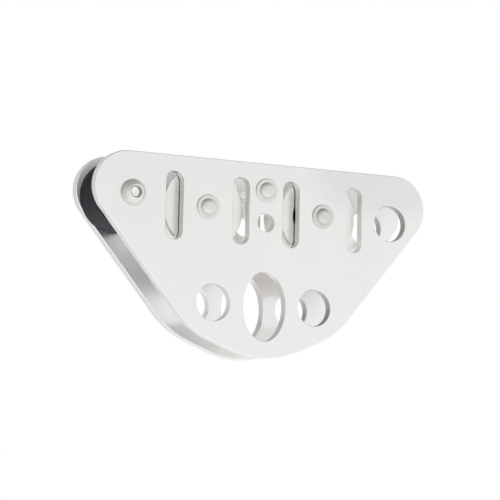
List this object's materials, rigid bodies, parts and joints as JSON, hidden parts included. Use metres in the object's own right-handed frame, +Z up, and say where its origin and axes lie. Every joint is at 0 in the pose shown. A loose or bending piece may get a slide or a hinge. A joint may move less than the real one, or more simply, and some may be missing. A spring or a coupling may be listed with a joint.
{
  "type": "tandem pulley trolley",
  "caption": "Two grooved wheels in line between flat triangular side plates with holes and slots, which roll along a cable and carry a load from the central eye.",
  "frame": {"origin": "on the centre line of the cable, halfway between the two wheels and halfway between the side plates", "axes": "+X along the cable towards the tether hole, away from the bumper; +Y from the bolt head towards its nut; +Z up"},
  "size_m": [0.1494, 0.0383, 0.079],
  "materials": {
    "satin_plate": "tumbled and finely satin brushed stainless plate, cut edges left brighter",
    "turned_wheel": "turned stainless steel with a fine lathe finish",
    "riveted_pin": "stainless pin with pressed domed heads, lightly polished by the tool",
    "turned_bush": "turned stainless steel",
    "ring_steel": "ground bearing steel",
    "ball_steel": "polished bearing steel",
    "cage_nylon": "natural glass-filled nylon",
    "seal_rubber": "smooth black nitrile rubber",
    "bumper_rubber": "solid black rubber, matte",
    "bolt_steel": "forged stainless fastener, slightly glossy",
    "insert_nylon": "white nylon"
  },
  "bodies": {
    "frame": {"front_plate": "satin_plate", "rear_plate": "satin_plate", "centre_tie": "riveted_pin", "centre_spacer": "turned_bush", "left_axle": "riveted_pin", "left_front_bush": "turned_bush", "left_rear_bush": "turned_bush", "left_bearing_inner_ring": "ring_steel", "right_axle": "riveted_pin", "right_front_bush": "turned_bush", "right_rear_bush": "turned_bush", "right_bearing_inner_ring": "ring_steel", "bumper": "bumper_rubber", "bumper_sleeve": "turned_bush", "bumper_bolt": "bolt_steel", "bumper_washer": "bolt_steel", "bumper_nut": "bolt_steel", "bumper_nut_insert": "insert_nylon"},
    "left_wheel": {"left_wheel": "turned_wheel", "left_bearing_outer_ring": "ring_steel", "left_bearing_front_seal": "seal_rubber", "left_bearing_rear_seal": "seal_rubber"},
    "left_ball_set": {"left_bearing_balls": "ball_steel", "left_bearing_cage": "cage_nylon"},
    "right_wheel": {"right_wheel": "turned_wheel", "right_bearing_outer_ring": "ring_steel", "right_bearing_front_seal": "seal_rubber", "right_bearing_rear_seal": "seal_rubber"},
    "right_ball_set": {"right_bearing_balls": "ball_steel", "right_bearing_cage": "cage_nylon"}
  },
  "joints": [
    {"name": "left_wheel_spin", "type": "hinge", "parent": "frame", "child": "left_wheel", "pos_m": [-0.0261, 0, 0.019], "axis": [0, 1, 0], "continuous": true},
    {"name": "left_ball_set_spin", "type": "hinge", "parent": "frame", "child": "left_ball_set", "pos_m": [-0.0261, 0, 0.019], "axis": [0, 1, 0], "continuous": true},
    {"name": "right_wheel_spin", "type": "hinge", "parent": "frame", "child": "right_wheel", "pos_m": [0.0261, 0, 0.019], "axis": [0, 1, 0], "continuous": true},
    {"name": "right_ball_set_spin", "type": "hinge", "parent": "frame", "child": "right_ball_set", "pos_m": [0.0261, 0, 0.019], "axis": [0, 1, 0], "continuous": true}
  ],
  "couplings": [
    {"joint": "left_ball_set_spin", "follows": "left_wheel_spin", "ratio": 0.6323},
    {"joint": "right_ball_set_spin", "follows": "right_wheel_spin", "ratio": 0.6323}
  ]
}
